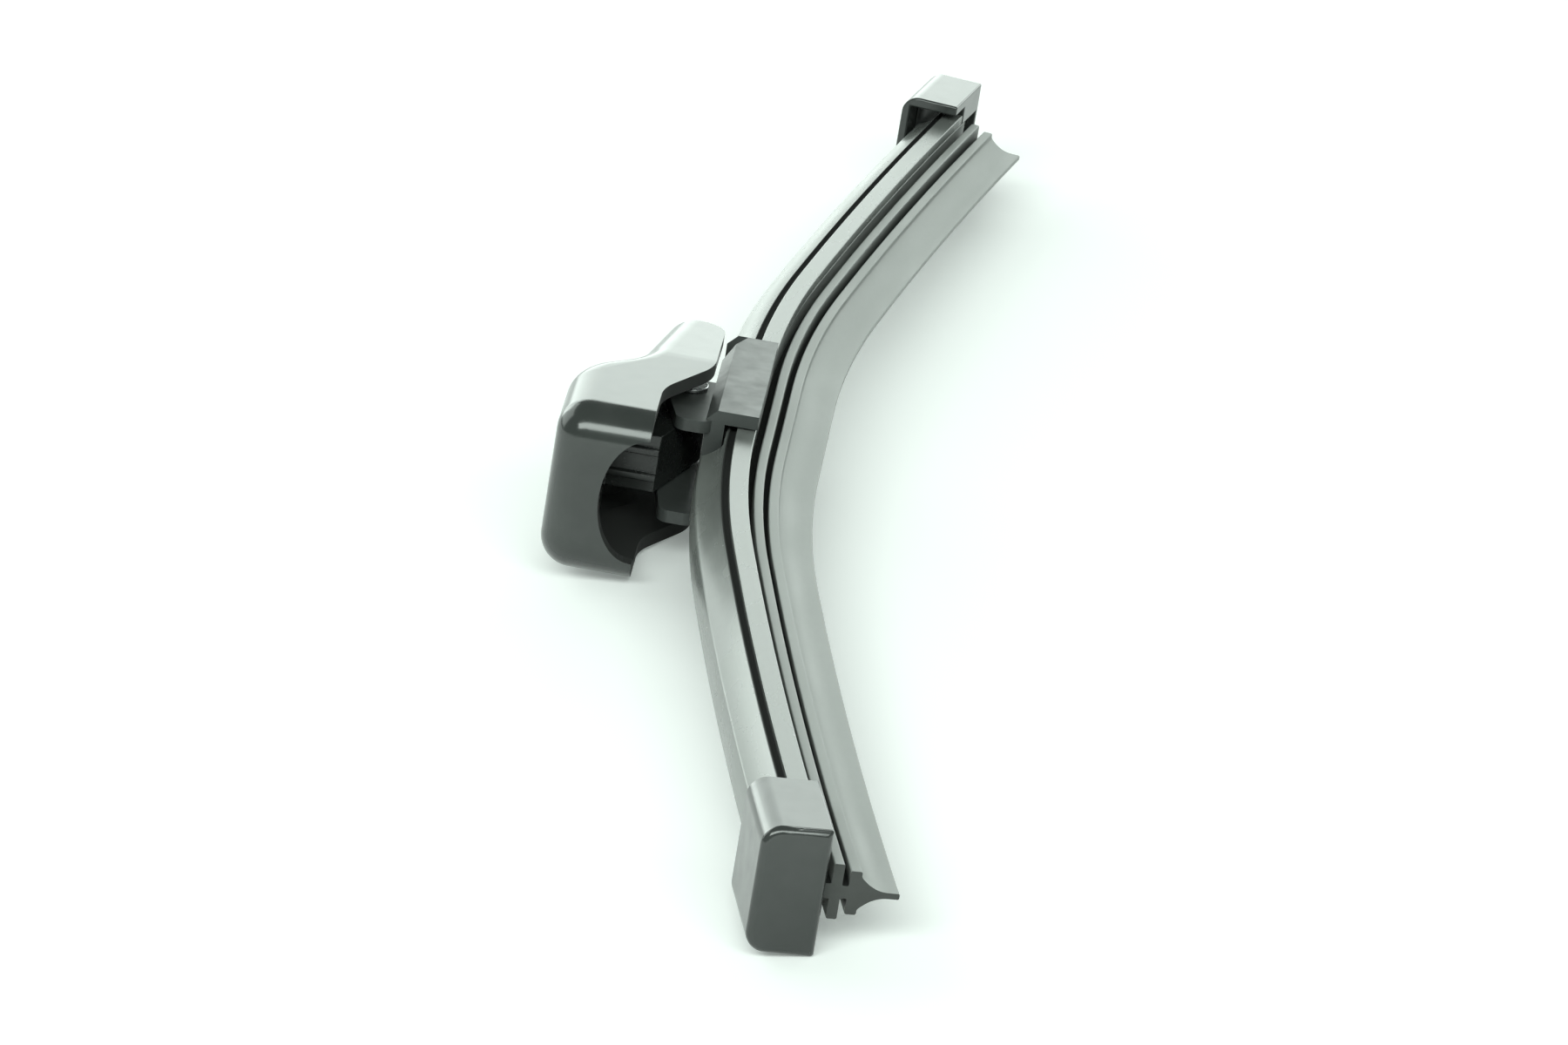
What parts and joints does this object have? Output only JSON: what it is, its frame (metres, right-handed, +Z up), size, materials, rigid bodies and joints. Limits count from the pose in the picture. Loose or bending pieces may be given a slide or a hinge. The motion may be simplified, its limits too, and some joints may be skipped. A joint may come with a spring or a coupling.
{
  "type": "rear wiper blade",
  "caption": "Flat sprung rear wiper blade with a bowed rubber strip, spoiler strips, end caps and a moulded hood adapter that rocks on a cross pin and takes the arm's tip.",
  "frame": {"origin": "centre of the lower side of the bounding box, with the blade lying on its side", "axes": "+Y along the blade towards its far end, +X from the hood towards the wiped glass, +Z up across the blade's width"},
  "size_m": [0.0512, 0.279, 0.022],
  "materials": {
    "wiping_rubber": "graphited matt",
    "spring_steel": "bright rolled",
    "spoiler_rubber": "satin extruded",
    "cap_plastic": "semi-gloss moulded",
    "connector_plastic": "satin moulded",
    "pin_steel": "bright turned",
    "core_plastic": "matt moulded",
    "hood_plastic": "semi-gloss moulded"
  },
  "bodies": {
    "blade": {"wiper_rubber": "wiping_rubber", "spring_rail_upper": "spring_steel", "spring_rail_lower": "spring_steel", "spoiler_near": "spoiler_rubber", "spoiler_far": "spoiler_rubber", "end_cap_near": "cap_plastic", "end_cap_far": "cap_plastic", "centre_connector": "connector_plastic", "pivot_pin": "pin_steel"},
    "adapter": {"adapter_core": "core_plastic", "adapter_hood": "hood_plastic"}
  },
  "joints": [
    {"name": "adapter_rock", "type": "hinge", "parent": "blade", "child": "adapter", "pos_m": [-0.01122, -0.002, 0.011], "axis": [0, 0, 1], "range_deg": [-15, 15]}
  ]
}
